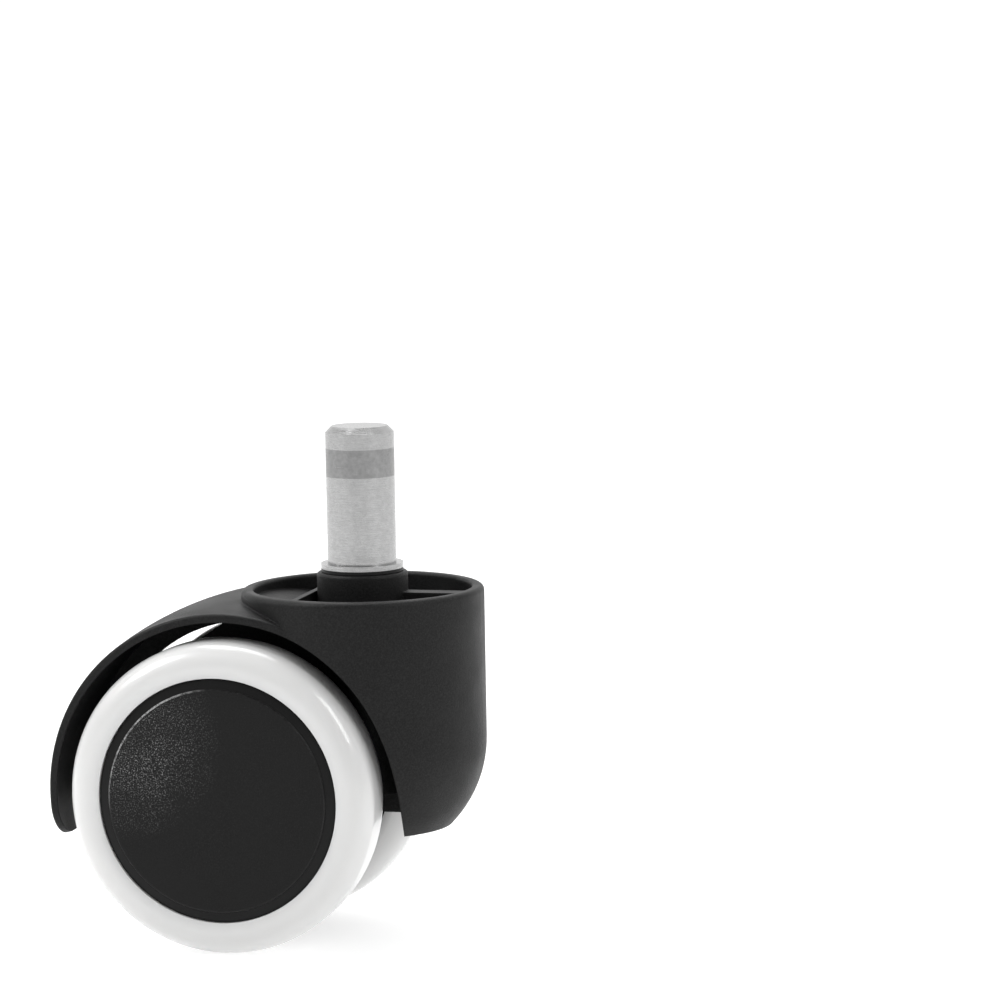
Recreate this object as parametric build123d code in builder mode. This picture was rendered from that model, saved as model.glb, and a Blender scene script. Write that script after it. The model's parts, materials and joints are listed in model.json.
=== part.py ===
from build123d import *
from math import asin, atan2, cos, degrees, radians, sin, sqrt
import os

# Hooded twin-wheel office chair caster with a grip-ring stem, in millimetres.
# The origin is on the stem axis in the plane where the chair leg seats; +Z is up, -X is the
# way the wheels trail, and Y is the axle's direction (right wheel at -Y, left wheel at +Y).

# ---------------------------------------------------------------- driving dimensions
SEAT_HEIGHT = 60.4  # floor to the leg's seat plane
WHEEL_R = 25.0
WHEEL_OFFSET = 18.5  # stem axis to axle axis
HALF_WIDTH = 21.9  # middle plane to a hub cap's face
WHEEL_INNER = 9.0  # middle plane to a tread's inner face

STEM_R = 5.5
STEM_LENGTH = 22.0
JOURNAL_R = 4.0
RUNNING_FIT = 0.05  # radial clearance of a shaft in its bearing
FACE_GAP = 0.1  # clearance between faces that turn past each other

CUP_R = 19.5
CUP_WALL = 2.0
RIM_HEIGHT = 56.5
CUP_BOTTOM = 18.0
CUP_ARC = 20.0  # radius of the cup's rounded lower side
CUP_ARC_TOP = 32.0  # height where that rounding starts
WELL_BOTTOM = 20.6
TOWER_R = 7.3
TOWER_TOP = 59.0

RIM_ROUND = 0.9
RIM_INNER_ROUND = 0.5
TOWER_ROUND = 0.5
ARCH_FLARE = 0.5  # how much the wheel arch opens through the cup's wall
RIB_TOP = 55.8
RIB_DEPTH = 3.2
RIB_THICK = 1.0

HOOD_HALF = 18.0
HOOD_EDGE_R = 29.15
HOOD_MID_R = 29.9
HOOD_SKIN = 1.3
HOOD_RIB_R = 25.7  # inner edge of the rib under the hood's middle
HOOD_DROP = 15.0  # degrees that the tip runs below the axle
WEB_HALF = 1.6
WEB_R = 24.1
WEB_BOTTOM = 20.1
WEB_SUNK = 0.7  # how far the web stays below the rim

AXLE_R = 3.0
CAP_R = 19.45


def level(height):
    """Height above the floor as a Z coordinate."""
    return height - SEAT_HEIGHT


AXLE = Vector(-WHEEL_OFFSET, 0, level(WHEEL_R))
AXLE_AXIS = Axis(AXLE, (0, 1, 0))
# Side view of the caster, with the axle as its origin: local x is X and local y is Z.
SIDE = Plane(origin=AXLE, x_dir=(1, 0, 0), z_dir=(0, -1, 0))


def across(side):
    """Half-section plane of a wheel: local x runs outward along the axle, local y is the radius."""
    return Plane(origin=AXLE, x_dir=(0, side, 0), z_dir=(side, 0, 0))


def finish(item, name):
    """Label one finished piece and write it."""
    item.part.label = name
    export_step(item.part, f"parts/{name}.step")


os.makedirs("parts", exist_ok=True)

# ---------------------------------------------------------------- hood and housing
WELL_R = CUP_R - CUP_WALL
SOCKET_R = 5.2  # bore of the stem tower
SOCKET_FLOOR = 25.6
TOWER_BOTTOM = 23.6
AXLE_BOSS_R = 7.0
AXLE_BOSS_HALF = 4.2
AXLE_SLEEVE_R = 4.4


def crown_point(mid_radius, y):
    """Radius, at a distance y from the middle plane, of a crowned surface round the axle."""
    fall = HOOD_MID_R - HOOD_EDGE_R
    arc_radius = (HOOD_HALF**2 + fall**2) / (2 * fall)
    return mid_radius - arc_radius + sqrt(arc_radius**2 - y**2)


def crowned_barrel(mid_radius, flare):
    """Crowned solid round the axle that flares past the hood's edges."""
    half = CUP_R + 0.5
    edge = crown_point(mid_radius, HOOD_HALF)
    with BuildPart() as barrel:
        with BuildSketch(Plane(origin=AXLE, x_dir=(0, 1, 0), z_dir=(1, 0, 0))):
            with BuildLine():
                ThreePointArc((-HOOD_HALF, edge), (0, mid_radius), (HOOD_HALF, edge))
                Polyline((HOOD_HALF, edge), (half, edge + flare), (half, 0))
                Line((half, 0), (-half, 0))
                Polyline((-half, 0), (-half, edge + flare), (-HOOD_HALF, edge))
            make_face()
        revolve(axis=AXLE_AXIS)
    return barrel.part


def cup_arc(inset, turn):
    """Point (radius, Z) of the cup's rounded lower side, inset from its outside; turn is down from level."""
    radius = CUP_R - CUP_ARC + (CUP_ARC - inset) * cos(turn)
    return radius, level(CUP_ARC_TOP) - (CUP_ARC - inset) * sin(turn)


def cup_solid(inset, bottom):
    """The round cup, inset from its outside, from a height up to past the rim when it is inset."""
    turn = asin((CUP_ARC_TOP - bottom) / (CUP_ARC - inset))
    low = cup_arc(inset, turn)
    top = level(RIM_HEIGHT + inset)
    with BuildPart() as cup:
        with BuildSketch(Plane.XZ):
            with BuildLine():
                ThreePointArc(low, cup_arc(inset, turn / 2), cup_arc(inset, 0))
                Polyline(cup_arc(inset, 0), (CUP_R - inset, top), (0, top), (0, low[1]), low)
            make_face()
        revolve(axis=Axis.Z)
    return cup.part


well_floor = crowned_barrel(HOOD_MID_R, 0)
wheel_space = crowned_barrel(HOOD_MID_R - HOOD_SKIN, ARCH_FLARE)

with BuildPart() as well:
    add(cup_solid(CUP_WALL, WELL_BOTTOM))
    add(well_floor, mode=Mode.SUBTRACT)

# The fender: a crowned strip turned about the axle, from the tip up into the cup.
FENDER_SUNK = 0.5  # how far its side edges run on inside the cup's wall
drop = radians(HOOD_DROP)
tip_plane = Plane(origin=AXLE, x_dir=(0, 1, 0), z_dir=(-sin(drop), 0, cos(drop)))
fender_end = WHEEL_OFFSET - sqrt(CUP_R**2 - HOOD_HALF**2) + FENDER_SUNK
fender_turn = HOOD_DROP + 90 + degrees(asin(fender_end / (HOOD_EDGE_R - HOOD_SKIN)))
TIP_ROUND = 5.0
HOOD_ROUND = 0.5
RIB_SETBACK = 6.0  # degrees from the tip to the rib's lower end
HOOD_RIB_HALF = 0.9

with BuildPart() as fender:
    with BuildSketch(tip_plane):
        outer_edge = (HOOD_HALF, HOOD_EDGE_R)
        inner_edge = (HOOD_HALF, HOOD_EDGE_R - HOOD_SKIN)
        with BuildLine():
            ThreePointArc((-HOOD_HALF, HOOD_EDGE_R), (0, HOOD_MID_R), outer_edge)
            Line(outer_edge, inner_edge)
            ThreePointArc(inner_edge, (0, HOOD_MID_R - HOOD_SKIN), (-HOOD_HALF, HOOD_EDGE_R - HOOD_SKIN))
            Line((-HOOD_HALF, HOOD_EDGE_R - HOOD_SKIN), (-HOOD_HALF, HOOD_EDGE_R))
        make_face()
    revolve(axis=AXLE_AXIS, revolution_arc=fender_turn)
    fillet(fender.edges().filter_by(GeomType.LINE).group_by(Axis.X)[0], radius=TIP_ROUND)
    outer_rim = fender.faces().sort_by(SortBy.AREA)[-1].edges().sort_by(Axis.X)[:-1]
    fillet(outer_rim, radius=HOOD_ROUND)

# A low rib stiffens the hood along its middle.
rib_start = radians(HOOD_DROP - RIB_SETBACK)
with BuildPart() as fender_rib:
    with BuildSketch(Plane(origin=AXLE, x_dir=(0, 1, 0), z_dir=(-sin(rib_start), 0, cos(rib_start)))):
        with Locations((0, (HOOD_RIB_R + HOOD_MID_R - HOOD_SKIN / 2) / 2)):
            Rectangle(2 * HOOD_RIB_HALF, HOOD_MID_R - HOOD_SKIN / 2 - HOOD_RIB_R)
    revolve(axis=AXLE_AXIS, revolution_arc=90)

# The web's outline in the side view, from the axle. Its slanted front edge leaves the fender free.
web_floor = WEB_BOTTOM - WHEEL_R
web_top = RIM_HEIGHT - WHEEL_R - WEB_SUNK
wall_middle = CUP_WALL / 2
cup_turn = asin((CUP_ARC_TOP - WEB_BOTTOM) / (CUP_ARC - wall_middle))
web_cup_line = [
    (WHEEL_OFFSET + radius, z - AXLE.Z)
    for radius, z in (cup_arc(wall_middle, cup_turn * share) for share in (1, 0.5, 0))
]
web_front_top = (-4.4, 25.5)
web_front_low = (-8.7, 22.5)
fender_middle = HOOD_MID_R - HOOD_SKIN / 2
web_front_low_angle = atan2(web_front_low[1], -web_front_low[0])
web_arc_middle = (-WEB_R * cos(web_front_low_angle / 2), WEB_R * sin(web_front_low_angle / 2))
web_arc_end = (-sqrt(WEB_R**2 - web_floor**2), web_floor)

with BuildPart() as hood_housing:
    add(cup_solid(0, CUP_BOTTOM))
    fillet(hood_housing.edges().filter_by(GeomType.CIRCLE).sort_by(Axis.Z)[-1], radius=RIM_ROUND)
    add(well.part, mode=Mode.SUBTRACT)
    rim_circles = hood_housing.edges().filter_by(GeomType.CIRCLE).group_by(Axis.Z)[-1]
    fillet(rim_circles.sort_by(SortBy.RADIUS)[0], radius=RIM_INNER_ROUND)
    add(wheel_space, mode=Mode.SUBTRACT)
    add(fender.part)
    add(fender_rib.part)
    with BuildSketch(SIDE):
        with BuildLine():
            Line(web_arc_end, web_cup_line[0])
            ThreePointArc(*web_cup_line)
            Polyline(
                web_cup_line[2],
                (web_cup_line[2][0], web_top),
                (WHEEL_OFFSET, web_top),
                (WHEEL_OFFSET, 0.7 * fender_middle),
                (0, fender_middle),
                (web_front_top[0], sqrt(fender_middle**2 - web_front_top[0] ** 2)),
                web_front_top,
                web_front_low,
            )
            ThreePointArc(web_front_low, web_arc_middle, web_arc_end)
        make_face()
    extrude(amount=WEB_HALF, both=True)
    with BuildSketch(SIDE):
        Circle(AXLE_BOSS_R)
    extrude(amount=AXLE_BOSS_HALF, both=True)
    with BuildSketch(Plane.XY.offset(level(TOWER_BOTTOM))):
        Circle(TOWER_R)
    extrude(amount=TOWER_TOP - TOWER_BOTTOM)
    fillet(hood_housing.edges().filter_by(GeomType.CIRCLE).sort_by(Axis.Z)[-1], radius=TOWER_ROUND)
    # a thin rib across the cup that steadies the tower
    with BuildSketch(Plane.XY.offset(level(RIB_TOP))):
        with Locations((-TOWER_R - RIB_THICK / 2, 0)):
            Rectangle(RIB_THICK, 2 * sqrt(WELL_R**2 - TOWER_R**2))
    extrude(amount=-RIB_DEPTH)
    with BuildSketch(Plane.XY.offset(level(TOWER_TOP))):
        Circle(SOCKET_R)
    extrude(amount=SOCKET_FLOOR - TOWER_TOP, mode=Mode.SUBTRACT)
    with BuildSketch(SIDE):
        Circle(AXLE_SLEEVE_R)
    extrude(amount=AXLE_BOSS_HALF, both=True, mode=Mode.SUBTRACT)

# ---------------------------------------------------------------- stem group
SHOULDER_R = 6.6
SHOULDER_THICK = 0.8
WASHER_THICK = 0.5
STEM_FOOT = 27.0  # height of the stem's lower end above the floor
SLEEVE_FOOT = 30.2
LOWER_RING = 28.6  # height of the lower ring's underside
LOWER_RING_THICK = 1.2
LOWER_RING_R = 4.8
LOWER_GROOVE_R = 3.2
GRIP_RING = 14.0  # the grip ring's lower end above the seat
GRIP_RING_LENGTH = 4.5
GRIP_GROOVE_R = 4.3
RING_GAP = 1.6
STEM_FOOT_CHAMFER = 0.6
STEM_TIP_CHAMFER = 1.0


def section_on(plane, *corners):
    """A flat section with straight sides on a plane, to be turned about an axis."""
    with BuildSketch(plane) as section:
        with BuildLine():
            Polyline(*corners, close=True)
        make_face()
    return section.sketch


def split_ring(plane, inner, outer, gap, thick):
    """A flat spring ring on a plane, open on its local -X side."""
    with BuildPart() as ring:
        with BuildSketch(plane):
            Circle(outer)
            Circle(inner, mode=Mode.SUBTRACT)
            with Locations((-outer, 0)):
                Rectangle(2 * outer, gap, mode=Mode.SUBTRACT)
        extrude(amount=thick)
    return ring


with BuildPart() as swivel_stem:
    groove = level(LOWER_RING)
    stem_profile = section_on(
        Plane.XZ,
        (0, level(STEM_FOOT)),
        (JOURNAL_R - STEM_FOOT_CHAMFER, level(STEM_FOOT)),
        (JOURNAL_R, level(STEM_FOOT) + STEM_FOOT_CHAMFER),
        (JOURNAL_R, groove),
        (LOWER_GROOVE_R, groove),
        (LOWER_GROOVE_R, groove + LOWER_RING_THICK),
        (JOURNAL_R, groove + LOWER_RING_THICK),
        (JOURNAL_R, -SHOULDER_THICK),
        (SHOULDER_R, -SHOULDER_THICK),
        (SHOULDER_R, 0),
        (STEM_R, 0),
        (STEM_R, GRIP_RING),
        (GRIP_GROOVE_R, GRIP_RING),
        (GRIP_GROOVE_R, GRIP_RING + GRIP_RING_LENGTH),
        (STEM_R, GRIP_RING + GRIP_RING_LENGTH),
        (STEM_R, STEM_LENGTH - STEM_TIP_CHAMFER),
        (STEM_R - STEM_TIP_CHAMFER, STEM_LENGTH),
        (0, STEM_LENGTH),
    )
    revolve(stem_profile, axis=Axis.Z)

stem_grip_ring = split_ring(Plane.XY.offset(GRIP_RING), GRIP_GROOVE_R, STEM_R, RING_GAP, GRIP_RING_LENGTH)
stem_retaining_ring = split_ring(
    Plane.XY.offset(level(LOWER_RING)), LOWER_GROOVE_R, LOWER_RING_R, RING_GAP, LOWER_RING_THICK
)

with BuildPart() as stem_thrust_washer:
    with BuildSketch(Plane.XY.offset(-SHOULDER_THICK)):
        Circle(SHOULDER_R)
        Circle(JOURNAL_R, mode=Mode.SUBTRACT)
    extrude(amount=-WASHER_THICK)

with BuildPart() as stem_socket_sleeve:
    with BuildSketch(Plane.XY.offset(level(SLEEVE_FOOT))):
        Circle(SOCKET_R)
        Circle(JOURNAL_R + RUNNING_FIT, mode=Mode.SUBTRACT)
    extrude(amount=TOWER_TOP - 0.3 - SLEEVE_FOOT)

# ---------------------------------------------------------------- axle group, fixed in the housing
AXLE_HALF = 18.4
CLIP_INNER = 16.2
CLIP_THICK = 1.0
CLIP_R = 5.0
CLIP_GROOVE_R = 2.3
SPACER_THICK = 0.7

with BuildPart() as wheel_axle:
    with BuildSketch(SIDE):
        Circle(AXLE_R)
    extrude(amount=AXLE_HALF, both=True)
    chamfer(wheel_axle.edges().filter_by(GeomType.CIRCLE), length=0.5)
    for side in (-1, 1):
        clip_groove = section_on(
            across(side),
            (CLIP_INNER, CLIP_GROOVE_R),
            (CLIP_INNER, AXLE_R + 1),
            (CLIP_INNER + CLIP_THICK, AXLE_R + 1),
            (CLIP_INNER + CLIP_THICK, CLIP_GROOVE_R),
        )
        revolve(clip_groove, axis=AXLE_AXIS, mode=Mode.SUBTRACT)

with BuildPart() as axle_sleeve:
    with BuildSketch(SIDE):
        Circle(AXLE_SLEEVE_R)
        Circle(AXLE_R, mode=Mode.SUBTRACT)
    extrude(amount=AXLE_BOSS_HALF, both=True)

for item, name in (
    (hood_housing, "hood_housing"),
    (swivel_stem, "swivel_stem"),
    (stem_grip_ring, "stem_grip_ring"),
    (stem_retaining_ring, "stem_retaining_ring"),
    (stem_thrust_washer, "stem_thrust_washer"),
    (stem_socket_sleeve, "stem_socket_sleeve"),
    (wheel_axle, "wheel_axle"),
    (axle_sleeve, "axle_sleeve"),
):
    finish(item, name)

# ---------------------------------------------------------------- the two wheels
# Sections are drawn from the middle plane outward: x along the axle, y the radius from it.
HUB_R = 7.4
BUSH_R = 4.4
BUSH_FLANGE_R = 5.8
BUSH_INNER = 5.0
BUSH_FLANGE = 0.8
HUB_OUTER = 16.0
DISC_INNER = 13.5
DISC_OUTER = 15.5
RIM_R = 20.1
RIM_BORE = 18.1
RIM_INNER = 9.4
RIM_OUTER = 20.6
WHEEL_RIBS = 8
WHEEL_RIB_THICK = 1.3
WHEEL_RIB_INNER = 10.0
TREAD_LIP = 21.6
TREAD_CROWN = (14.4, 18.2)  # the flat of the tread, from the middle plane
TREAD_INNER_R = 21.2
CAP_DISC_R = 17.9
CAP_EDGE = 21.25  # where the cap's bevel ends, from the middle plane
CAP_STEP = 0.25
CAP_SKIRT_R = 18.0
CAP_SKIRT_BORE = 16.9
CAP_SKIRT_INNER = 18.4
CLIP_GRIP = 0.6  # how much narrower the clip's mouth is than its groove
OVERLAP = 0.5  # how far one stroke of a moulding runs into the next


def facing_out(side, distance):
    """Plane square to the axle at a distance from the middle plane, facing outward."""
    return Plane(origin=AXLE + Vector(0, side * distance, 0), x_dir=(1, 0, 0), z_dir=(0, side, 0))


def box_section(side, inner, outer, low, high):
    """Rectangular half-section: inner to outer along the axle, low to high in radius."""
    return section_on(across(side), (inner, low), (inner, high), (outer, high), (outer, low))


for side, hand in ((-1, "right"), (1, "left")):
    with BuildPart() as wheel_core:
        hub_inner = BUSH_INNER + BUSH_FLANGE
        revolve(box_section(side, hub_inner, HUB_OUTER, BUSH_R, HUB_R), axis=AXLE_AXIS)
        disc_section = box_section(side, DISC_INNER, DISC_OUTER, HUB_R - OVERLAP, RIM_BORE + OVERLAP)
        revolve(disc_section, axis=AXLE_AXIS)
        revolve(box_section(side, RIM_INNER, RIM_OUTER, RIM_BORE, RIM_R), axis=AXLE_AXIS)
        with BuildSketch(facing_out(side, WHEEL_RIB_INNER)):
            with PolarLocations((RIM_BORE + HUB_R) / 2, WHEEL_RIBS):
                Rectangle(RIM_BORE - HUB_R + OVERLAP, WHEEL_RIB_THICK)
        extrude(amount=DISC_INNER - WHEEL_RIB_INNER + OVERLAP)

    with BuildPart() as wheel_bush:
        bore = AXLE_R + RUNNING_FIT
        bush_profile = section_on(
            across(side),
            (BUSH_INNER, bore),
            (BUSH_INNER, BUSH_FLANGE_R),
            (BUSH_INNER + BUSH_FLANGE, BUSH_FLANGE_R),
            (BUSH_INNER + BUSH_FLANGE, BUSH_R),
            (HUB_OUTER, BUSH_R),
            (HUB_OUTER, bore),
        )
        revolve(bush_profile, axis=AXLE_AXIS)

    with BuildPart() as tread:
        lip_r = CAP_R + FACE_GAP
        inner_crown = (TREAD_CROWN[0], WHEEL_R)
        outer_crown = (TREAD_CROWN[1], WHEEL_R)
        with BuildSketch(across(side)):
            with BuildLine():
                Polyline(
                    (WHEEL_INNER, TREAD_INNER_R),
                    (WHEEL_INNER, RIM_R),
                    (RIM_OUTER, RIM_R),
                    (RIM_OUTER, lip_r),
                    (TREAD_LIP, lip_r),
                )
                TangentArc(outer_crown, (TREAD_LIP, lip_r), tangent=(1, 0))
                Line(inner_crown, outer_crown)
                TangentArc(inner_crown, (WHEEL_INNER, TREAD_INNER_R), tangent=(-1, 0))
            make_face()
        revolve(axis=AXLE_AXIS)

    with BuildPart() as hub_cap:
        cap_profile = section_on(
            across(side),
            (CAP_SKIRT_INNER, CAP_SKIRT_BORE),
            (CAP_SKIRT_INNER, CAP_SKIRT_R),
            (RIM_OUTER, CAP_SKIRT_R),
            (RIM_OUTER, CAP_R),
            (CAP_EDGE, CAP_R),
            (HALF_WIDTH - CAP_STEP, CAP_DISC_R + CAP_STEP),
            (HALF_WIDTH, CAP_DISC_R - CAP_STEP),
            (HALF_WIDTH, 0),
            (RIM_OUTER, 0),
            (RIM_OUTER, CAP_SKIRT_BORE),
        )
        revolve(cap_profile, axis=AXLE_AXIS)

    with BuildPart() as spacer_washer:
        outer_face = AXLE_BOSS_HALF + SPACER_THICK
        spacer_section = box_section(side, AXLE_BOSS_HALF, outer_face, AXLE_R, BUSH_FLANGE_R)
        revolve(spacer_section, axis=AXLE_AXIS)

    clip_gap = 2 * CLIP_GROOVE_R - CLIP_GRIP
    axle_clip = split_ring(facing_out(side, CLIP_INNER), CLIP_GROOVE_R, CLIP_R, clip_gap, CLIP_THICK)

    for item, name in (
        (wheel_core, "wheel_core"),
        (wheel_bush, "wheel_bush"),
        (tread, "tread"),
        (hub_cap, "hub_cap"),
        (spacer_washer, "spacer_washer"),
        (axle_clip, "axle_clip"),
    ):
        finish(item, f"{hand}_{name}")
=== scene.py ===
import json
from math import acos, cos, degrees, pi, radians, sin

import bmesh
import bpy
from mathutils import Matrix, Vector


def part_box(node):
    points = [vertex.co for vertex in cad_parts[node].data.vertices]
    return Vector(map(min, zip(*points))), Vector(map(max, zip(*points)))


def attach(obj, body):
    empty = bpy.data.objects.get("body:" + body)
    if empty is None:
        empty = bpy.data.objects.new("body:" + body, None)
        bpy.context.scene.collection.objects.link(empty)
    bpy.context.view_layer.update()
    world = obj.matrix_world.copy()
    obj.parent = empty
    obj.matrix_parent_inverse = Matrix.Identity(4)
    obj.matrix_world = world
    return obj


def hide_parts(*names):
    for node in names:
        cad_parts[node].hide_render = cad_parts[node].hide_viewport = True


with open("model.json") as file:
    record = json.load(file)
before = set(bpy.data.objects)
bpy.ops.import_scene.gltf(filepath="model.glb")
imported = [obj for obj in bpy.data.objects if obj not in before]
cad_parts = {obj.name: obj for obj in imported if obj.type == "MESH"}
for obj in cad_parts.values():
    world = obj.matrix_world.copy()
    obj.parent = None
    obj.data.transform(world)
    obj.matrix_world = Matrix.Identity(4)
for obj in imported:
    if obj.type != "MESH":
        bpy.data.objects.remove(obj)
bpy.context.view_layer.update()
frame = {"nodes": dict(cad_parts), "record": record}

# Hooded twin-wheel chair caster: looks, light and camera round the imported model, in metres.

NODES = frame["nodes"]
JOINTS = {joint["name"]: joint for joint in frame["record"]["behaviour"]["joints"]}
SLOT_OF = {part["node"]: part["material_slot"] for part in frame["record"]["subparts"]}
AXLE = Vector(JOINTS["right_wheel_roll"]["pos_m"])
FLOOR_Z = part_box("right_tread")[0][2]
MM = 0.001

# Wheel sizes that the lathed pieces share; distances along the axle are from the middle plane.
WHEEL_R = AXLE.z - FLOOR_Z
CAP_FACE = -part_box("right_hub_cap")[0][1]
CAP_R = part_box("right_hub_cap")[1][0] - AXLE.x
TREAD_INNER = -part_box("right_tread")[1][1]


# ---------------------------------------------------------------- material helpers
def new_material(name, **values):
    """A material with its uniform values set straight on the shader's sockets."""
    material = bpy.data.materials.new(name)
    material.use_nodes = True
    shader = material.node_tree.nodes["Principled BSDF"]
    for socket, value in values.items():
        shader.inputs[socket.replace("_", " ")].default_value = value
    return material, material.node_tree, shader


def object_noise(tree, scale, detail=3.0, roughness=0.6, stretch=(1, 1, 1)):
    """Noise from 0 to 1 in object coordinates; scale is in cells per metre."""
    coordinates = tree.nodes.new("ShaderNodeTexCoord")
    mapping = tree.nodes.new("ShaderNodeMapping")
    mapping.inputs["Scale"].default_value = stretch
    noise = tree.nodes.new("ShaderNodeTexNoise")
    noise.inputs["Scale"].default_value = scale
    noise.inputs["Detail"].default_value = detail
    noise.inputs["Roughness"].default_value = roughness
    tree.links.new(coordinates.outputs["Object"], mapping.inputs["Vector"])
    tree.links.new(mapping.outputs["Vector"], noise.inputs["Vector"])
    return noise.outputs["Fac"]


def ramp(tree, source, stops):
    """Colour ramp over a 0 to 1 value; stops are (position, grey or RGB)."""
    node = tree.nodes.new("ShaderNodeValToRGB")
    elements = node.color_ramp.elements
    while len(elements) < len(stops):
        elements.new(0.5)
    for element, (position, colour) in zip(elements, stops):
        element.position = position
        element.color = (*colour, 1) if isinstance(colour, tuple) else (colour, colour, colour, 1)
    tree.links.new(source, node.inputs["Fac"])
    return node.outputs["Color"]


def blend(tree, share, low, high):
    """Mix of two colours by a 0 to 1 share."""
    node = tree.nodes.new("ShaderNodeMix")
    node.data_type = "RGBA"
    sockets = [socket for socket in node.inputs if socket.type == "RGBA"]
    tree.links.new(share, node.inputs["Factor"])
    tree.links.new(low, sockets[0])
    tree.links.new(high, sockets[1])
    return next(socket for socket in node.outputs if socket.type == "RGBA")


def patch(tree, centre, reach):
    """1 at a point of the side view (X, Z), falling to 0 at a distance from it, on both wheels."""
    coordinates = tree.nodes.new("ShaderNodeTexCoord")
    mapping = tree.nodes.new("ShaderNodeMapping")
    mapping.inputs["Location"].default_value = (-centre.x / reach, 0, -centre.z / reach)
    mapping.inputs["Scale"].default_value = (1 / reach, 0, 1 / reach)
    gradient = tree.nodes.new("ShaderNodeTexGradient")
    gradient.gradient_type = "SPHERICAL"
    tree.links.new(coordinates.outputs["Object"], mapping.inputs["Vector"])
    tree.links.new(mapping.outputs["Vector"], gradient.inputs["Vector"])
    return gradient.outputs["Fac"]


def bump(tree, shader, layers, edge_radius=None):
    """Stacked bumps on the shader's normal; layers are (height source, distance in metres)."""
    normal = None
    if edge_radius:
        soft_edge = tree.nodes.new("ShaderNodeBevel")
        soft_edge.samples = 6
        soft_edge.inputs["Radius"].default_value = edge_radius
        normal = soft_edge.outputs["Normal"]
    for height, distance in layers:
        node = tree.nodes.new("ShaderNodeBump")
        node.inputs["Distance"].default_value = distance
        tree.links.new(height, node.inputs["Height"])
        if normal:
            tree.links.new(normal, node.inputs["Normal"])
        normal = node.outputs["Normal"]
    tree.links.new(normal, shader.inputs["Normal"])


def grained_plastic(name, dark, light, rough, grain, depth, edge_radius=None, shine=0.18):
    """Moulded black plastic with an eroded, speckled grain; grain is the cell size in metres."""
    material, tree, shader = new_material(name, Specular_IOR_Level=shine)
    cells = object_noise(tree, 1 / grain, detail=4.0, roughness=0.75)
    patches = object_noise(tree, 1 / (30 * grain), detail=2.0)
    speckle = ramp(tree, cells, [(0.4, dark), (0.72, light)])
    tree.links.new(speckle, shader.inputs["Base Color"])
    sheen = ramp(tree, patches, [(0.3, rough - 0.06), (0.7, rough + 0.06)])
    tree.links.new(sheen, shader.inputs["Roughness"])
    bump(tree, shader, [(patches, 0.02 * MM), (cells, depth)], edge_radius)
    return material


def cap_grain_painted_glint(name):
    """Cap face: black grained plastic with a painted highlight, its speckle painted bright over the
    upper left as if grazing light from there caught it.
    """
    material, tree, shader = new_material(name, Specular_IOR_Level=0.16)
    cells = object_noise(tree, 1 / (0.24 * MM), detail=3.0, roughness=0.7)
    blotches = object_noise(tree, 1 / (6.5 * MM), detail=4.0, roughness=0.55)
    plain_grain = ramp(tree, cells, [(0.3, 0.004), (0.75, 0.008)])
    # Painted highlight: the grain's speckle painted bright, as grazing light from the upper left
    # would light it.
    painted_glint = ramp(tree, cells, [(0.47, 0.003), (0.57, 0.04), (0.65, 0.24)])
    # Painted highlight mask: strongest on the upper left of the side view, towards the left lamp,
    # broken up by the blotch noise.
    lit_side = patch(tree, centre=AXLE + Vector((-15, 0, 9.5)) * MM, reach=17.5 * MM)
    amount = tree.nodes.new("ShaderNodeMath")
    amount.operation = "MULTIPLY"
    amount.use_clamp = True
    tree.links.new(ramp(tree, lit_side, [(0.06, 0.02), (0.72, 1.0)]), amount.inputs[0])
    tree.links.new(ramp(tree, blotches, [(0.36, 0.12), (0.62, 1.0)]), amount.inputs[1])
    tree.links.new(blend(tree, amount.outputs[0], plain_grain, painted_glint), shader.inputs["Base Color"])
    tree.links.new(ramp(tree, blotches, [(0.3, 0.44), (0.7, 0.56)]), shader.inputs["Roughness"])
    bump(tree, shader, [(blotches, 0.015 * MM), (cells, 0.03 * MM)])
    return material


def cap_edge_painted_crescent(name):
    """Rounded edge of the cap's disc: a painted highlight, a bright crescent over the upper left
    beside the cap face's painted highlight, black elsewhere.
    """
    material, tree, shader = new_material(name, Specular_IOR_Level=0.2)
    cells = object_noise(tree, 1 / (0.4 * MM), detail=3.0, roughness=0.7)
    black = ramp(tree, cells, [(0.4, 0.004), (0.7, 0.012)])
    # Painted highlight: a bright crescent on the edge over the upper left of the side view, where
    # light from the upper left would catch it.
    painted_crescent = ramp(tree, cells, [(0.36, 0.04), (0.6, 0.34)])
    lit_side = patch(tree, centre=AXLE + Vector((-14, 0, 11.5)) * MM, reach=15 * MM)
    colour = blend(tree, ramp(tree, lit_side, [(0.04, 0.0), (0.55, 1.0)]), black, painted_crescent)
    tree.links.new(colour, shader.inputs["Base Color"])
    tree.links.new(ramp(tree, cells, [(0.3, 0.3), (0.7, 0.4)]), shader.inputs["Roughness"])
    bump(tree, shader, [(cells, 0.02 * MM)])
    return material


def glossy_tread(name):
    """White polyurethane: a clear skin over a faintly cloudy, translucent body."""
    material, tree, shader = new_material(
        name, Coat_Weight=0.6, Coat_Roughness=0.08, Subsurface_Weight=0.4, Subsurface_Scale=5 * MM
    )
    shader.inputs["Subsurface Radius"].default_value = (1.0, 0.97, 0.93)
    clouds = object_noise(tree, 90, detail=1.0)
    colour = ramp(tree, clouds, [(0.3, (0.605, 0.605, 0.601)), (0.7, (0.62, 0.62, 0.616))])
    tree.links.new(colour, shader.inputs["Base Color"])
    waves = object_noise(tree, 160, detail=1.0)
    tree.links.new(ramp(tree, waves, [(0.3, 0.28), (0.7, 0.33)]), shader.inputs["Roughness"])
    bump(tree, shader, [(waves, 0.004 * MM)])
    return material


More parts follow.
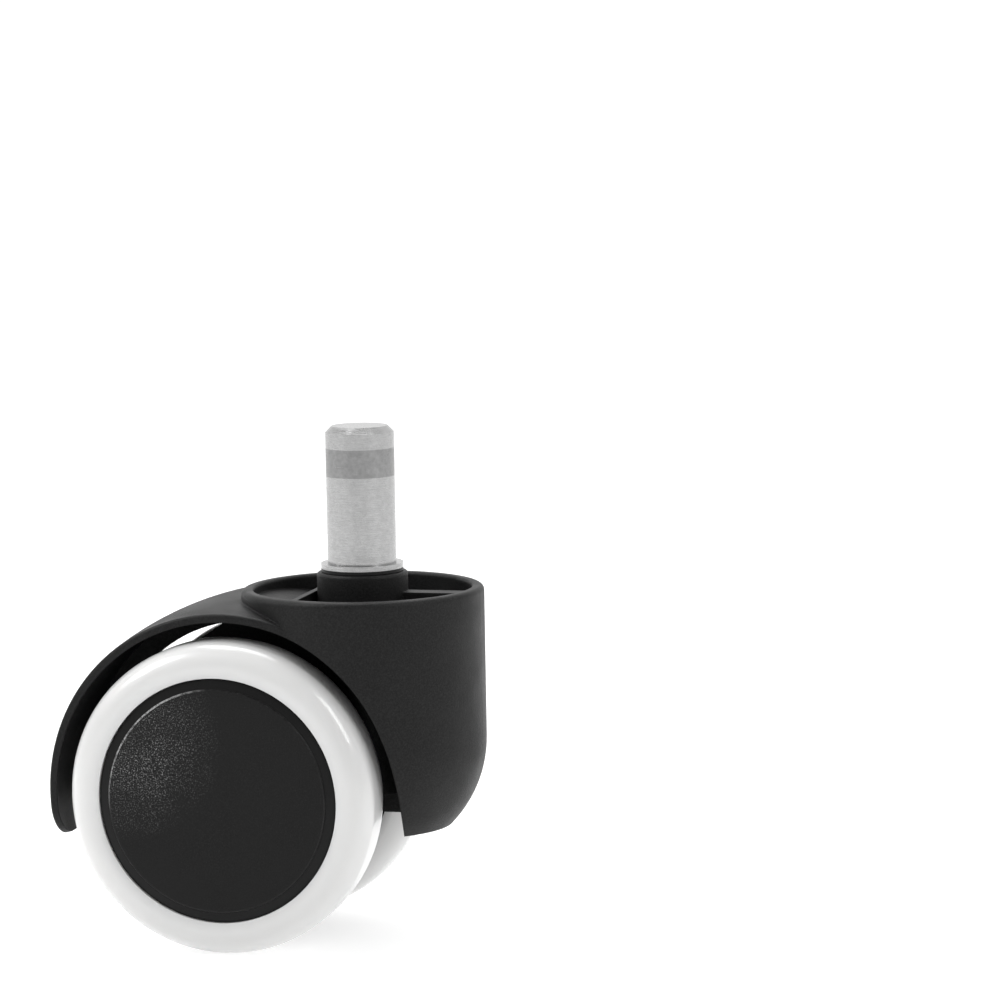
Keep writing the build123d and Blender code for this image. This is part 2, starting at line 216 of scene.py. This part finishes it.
def turned_steel(name, grey, rough, lines):
    """Steel with fine marks of turning round the Z axis; lines is the number of marks per metre."""
    material, tree, shader = new_material(name, Metallic=1.0)
    rings = object_noise(tree, lines, detail=2.0, stretch=(0.04, 0.04, 1))
    stains = object_noise(tree, 1200, detail=5.0)
    colour = ramp(tree, stains, [(0.3, grey - 0.04), (0.7, grey + 0.03)])
    tree.links.new(colour, shader.inputs["Base Color"])
    sheen = ramp(tree, rings, [(0.3, rough - 0.07), (0.7, rough + 0.08)])
    tree.links.new(sheen, shader.inputs["Roughness"])
    bump(tree, shader, [(rings, 0.01 * MM)])
    return material


# Plastics: darkest and lightest grey, roughness, grain size, grain depth, edge radius.
# Steels: grey, roughness, turning marks per metre.
MATERIALS = {
    "housing_nylon": grained_plastic(
        "housing_nylon", 0.004, 0.016, 0.48, 0.28 * MM, 0.05 * MM, 0.35 * MM
    ),
    # Cap face: grained black plastic with a painted highlight over the upper left.
    "cap_black": cap_grain_painted_glint("cap_black"),
    "core_nylon": grained_plastic(
        "core_nylon", 0.012, 0.02, 0.5, 0.3 * MM, 0.02 * MM, 0.25 * MM
    ),
    "washer_nylon": grained_plastic("washer_nylon", 0.01, 0.015, 0.4, 0.3 * MM, 0.01 * MM),
    "bush_acetal": grained_plastic("bush_acetal", 0.7, 0.75, 0.35, 0.5 * MM, 0.01 * MM),
    "tread_white": glossy_tread("tread_white"),
    "stem_steel": turned_steel("stem_steel", 0.42, 0.28, 9000),
    "spring_steel": turned_steel("spring_steel", 0.28, 0.34, 7000),
    "sleeve_steel": turned_steel("sleeve_steel", 0.55, 0.35, 7000),
    "axle_steel": turned_steel("axle_steel", 0.6, 0.28, 9000),
}
# Cap disc edge: black plastic with a painted highlight crescent over the upper left.
CAP_EDGE = cap_edge_painted_crescent("cap_edge")
CAP_RING = grained_plastic("cap_ring", 0.003, 0.005, 0.4, 0.3 * MM, 0.006 * MM)

for node, obj in NODES.items():
    for material_slot in obj.material_slots:
        material_slot.material = MATERIALS[SLOT_OF[node]]


# ---------------------------------------------------------------- lathed pieces of the wheels
SEGMENTS = 256
SHARP_EDGE = radians(40)


def arc(centre, radius, start, end, steps):
    """Points of an arc in a half-section; angles in degrees from the outward axle direction."""
    turns = (radians(start + (end - start) * step / steps) for step in range(steps + 1))
    return [(centre[0] + radius * cos(turn), centre[1] + radius * sin(turn)) for turn in turns]


def lathe(name, side, profile, body, node, face_materials, material_of=None):
    """Turn a closed half-section (distance along the axle, radius) into a node's replacement.

    Its body is what the piece rides on; material_of gives the material number of a segment.
    """
    shape = bmesh.new()
    turns = [2 * pi * step / SEGMENTS for step in range(SEGMENTS)]
    rings = []
    for along, radius in profile:
        if radius == 0:
            rings.append([shape.verts.new((AXLE.x, side * along, AXLE.z))] * SEGMENTS)
            continue
        points = [(AXLE.x + radius * cos(t), side * along, AXLE.z + radius * sin(t)) for t in turns]
        rings.append([shape.verts.new(point) for point in points])
    for index, ring in enumerate(rings):
        following = rings[(index + 1) % len(rings)]
        if ring[0] is ring[1] and following[0] is following[1]:
            continue
        for step in range(SEGMENTS):
            after = (step + 1) % SEGMENTS
            corners = [ring[step], ring[after], following[after], following[step]]
            face = shape.faces.new(list(dict.fromkeys(corners)))
            face.smooth = True
            face.material_index = material_of(index) if material_of else 0
    bmesh.ops.recalc_face_normals(shape, faces=shape.faces)
    mesh = bpy.data.meshes.new(name)
    shape.to_mesh(mesh)
    shape.free()
    mesh.set_sharp_from_angle(angle=SHARP_EDGE)
    for material in face_materials:
        mesh.materials.append(material)
    piece = bpy.data.objects.new(name, mesh)
    bpy.context.collection.objects.link(piece)
    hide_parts(node)
    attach(piece, body)


def tread_profile():
    """Tyre section: crowned running face, full round shoulder and a soft lip round the cap."""
    crown_inner, crown_outer = 14.4 * MM, 18.2 * MM
    rim_r, rim_face = 20.1 * MM, 20.6 * MM
    outer_width, outer_drop = 21.6 * MM - crown_outer, WHEEL_R - (CAP_R + 0.1 * MM)
    inner_width, inner_drop = crown_inner - TREAD_INNER, WHEEL_R - 21.2 * MM
    outer_arc_r = (outer_width**2 + outer_drop**2) / (2 * outer_drop)
    inner_arc_r = (inner_width**2 + inner_drop**2) / (2 * inner_drop)
    outer_end = -degrees(acos(outer_width / outer_arc_r))
    inner_start = 180 - degrees(acos(inner_width / inner_arc_r))
    outer = arc((crown_outer, WHEEL_R - outer_arc_r), outer_arc_r, 90, outer_end, 40)
    inner = arc((crown_inner, WHEEL_R - inner_arc_r), inner_arc_r, inner_start, 90, 24)
    lip_r = WHEEL_R - outer_drop
    return inner + outer + [(rim_face, lip_r), (rim_face, rim_r), (TREAD_INNER, rim_r)]


def cap_profile():
    """Cap section: a soft disc standing on a bevelled ring, with its skirt inside the rim.

    Also gives the number of segments on the disc's face and on its rounded edge.
    """
    back = 20.6 * MM
    skirt_end, skirt_bore, skirt_r = 18.4 * MM, 16.9 * MM, 18.0 * MM
    ring_out, ring_in = CAP_FACE - 0.65 * MM, CAP_FACE - 0.3 * MM
    disc_r = 17.9 * MM
    dome = 0.06 * MM
    edge_round = 0.3 * MM
    eased, nick, swell = 0.12 * MM, 0.02 * MM, 0.05 * MM
    flat_r = disc_r - edge_round
    face = [(CAP_FACE - dome * (step / 6) ** 2, flat_r * step / 6) for step in range(7)]
    edge = arc((CAP_FACE - dome - edge_round, flat_r), edge_round, 0, 80, 8)[1:]
    ring = [
        (ring_in, disc_r + nick),
        (ring_in - eased / 4, disc_r + eased),
        ((ring_in + ring_out) / 2 + swell, (disc_r + CAP_R) / 2 + 2 * swell),
        (ring_out + eased / 2, CAP_R - eased),
        (ring_out, CAP_R - nick),
        (ring_out - 4 * nick, CAP_R),
    ]
    skirt = [
        (back, CAP_R),
        (back, skirt_r),
        (skirt_end, skirt_r),
        (skirt_end, skirt_bore),
        (back, skirt_bore),
        (back, 0),
    ]
    return face + edge + ring + skirt, len(face) - 1, len(edge)


CAP_SECTION, FACE_SEGMENTS, EDGE_SEGMENTS = cap_profile()


def cap_material(index):
    """Material number of a segment of the cap's section: face, edge or ring."""
    return (index >= FACE_SEGMENTS) + (index >= FACE_SEGMENTS + EDGE_SEGMENTS)


for side, hand in ((-1, "right"), (1, "left")):
    wheel = f"{hand}_wheel"
    tread = f"{hand}_tread"
    lathe(f"{tread}_tyre", side, tread_profile(), wheel, tread, [MATERIALS["tread_white"]])
    cap_materials = [MATERIALS["cap_black"], CAP_EDGE, CAP_RING]
    cap = f"{hand}_hub_cap"
    lathe(f"{hand}_cap_shell", side, CAP_SECTION, wheel, cap, cap_materials, cap_material)


# ---------------------------------------------------------------- floor, light and camera
def make_floor():
    """Pale glowing plane under the caster."""
    mesh = bpy.data.meshes.new("floor")
    half = 12.0
    corners = [(x * half, y * half, FLOOR_Z) for x, y in ((-1, -1), (1, -1), (1, 1), (-1, 1))]
    mesh.from_pydata(corners, [], [(0, 1, 2, 3)])
    floor = bpy.data.objects.new("floor", mesh)
    bpy.context.collection.objects.link(floor)
    material, tree, shader = new_material("floor_white", Roughness=0.6, Emission_Strength=0.66)
    shader.inputs["Emission Color"].default_value = (1, 1, 1, 1)
    colour = ramp(tree, object_noise(tree, 4), [(0.3, 0.48), (0.7, 0.52)])
    tree.links.new(colour, shader.inputs["Base Color"])
    mesh.materials.append(material)


def back_direction(azimuth, elevation):
    """Unit vector from a target to a viewer; azimuth 0 views along +Y and grows towards +X."""
    a, e = radians(azimuth), radians(elevation)
    return Vector((sin(a) * cos(e), -cos(a) * cos(e), sin(e)))


def area_light(name, aim, azimuth, elevation, distance, size, watts):
    """A soft box that looks at the aim point."""
    data = bpy.data.lights.new(name, "AREA")
    data.shape = "RECTANGLE"
    data.size, data.size_y = size
    data.energy = watts
    light = bpy.data.objects.new(name, data)
    back = back_direction(azimuth, elevation)
    light.location = aim + distance * back
    light.rotation_euler = back.to_track_quat("Z", "Y").to_euler()
    bpy.context.collection.objects.link(light)


def photo_camera(azimuth, elevation, roll, depth, focal, frame_x, frame_y):
    """Camera that puts the stem axis's foot at (frame_x, frame_y), in frame widths from the centre.

    Depth is the foot's distance along the view; focal is the focal length in frame widths.
    """
    back = back_direction(azimuth, elevation)
    right = Vector((cos(radians(azimuth)), sin(radians(azimuth)), 0))
    up = back.cross(right)
    turn = Matrix.Rotation(radians(roll), 3, back)
    right, up = turn @ right, turn @ up
    data = bpy.data.cameras.new("camera")
    data.lens = data.sensor_width * focal
    camera = bpy.data.objects.new("camera", data)
    foot = Vector((0, 0, FLOOR_Z))
    place = foot + depth * back - (depth / focal) * (frame_x * right + frame_y * up)
    rotation = Matrix((right, up, back)).transposed()
    camera.matrix_world = Matrix.Translation(place) @ rotation.to_4x4()
    data.clip_start, data.clip_end = 0.01, 40
    bpy.context.collection.objects.link(camera)
    bpy.context.scene.camera = camera


def make_world(front, back):
    """Even studio surround: strength back behind the caster, front on the side it is seen from."""
    world = bpy.data.worlds.new("studio")
    world.use_nodes = True
    tree = world.node_tree
    coordinates = tree.nodes.new("ShaderNodeTexCoord")
    direction = tree.nodes.new("ShaderNodeSeparateXYZ")
    level = tree.nodes.new("ShaderNodeMapRange")
    level.interpolation_type = "SMOOTHSTEP"
    level.inputs["From Min"].default_value = -0.3
    level.inputs["From Max"].default_value = 0.8
    level.inputs["To Min"].default_value = front
    level.inputs["To Max"].default_value = back
    tree.links.new(coordinates.outputs["Generated"], direction.inputs["Vector"])
    tree.links.new(direction.outputs["Y"], level.inputs["Value"])
    background = tree.nodes["Background"]
    background.inputs["Color"].default_value = (1, 1, 1, 1)
    tree.links.new(level.outputs["Result"], background.inputs["Strength"])
    bpy.context.scene.world = world


make_floor()
make_world(front=0.5, back=1.06)
middle = Vector((-0.01, 0, FLOOR_Z + 0.035))
area_light(
    "top_softbox", middle, azimuth=-160, elevation=68, distance=0.7, size=(0.45, 0.45), watts=3.0
)
area_light(
    "left_softbox", middle, azimuth=-66, elevation=40, distance=0.6, size=(0.22, 0.22), watts=2.1
)
area_light(
    "right_softbox", middle, azimuth=67, elevation=33, distance=0.6, size=(0.16, 0.3), watts=1.0
)
photo_camera(
    azimuth=14.02,
    elevation=6.76,
    roll=-1.0,
    depth=0.6484,
    focal=4.0,
    frame_x=-0.1298,
    frame_y=-0.4311,
)
bpy.context.scene.view_settings.view_transform = "Standard"

bpy.context.view_layer.update()
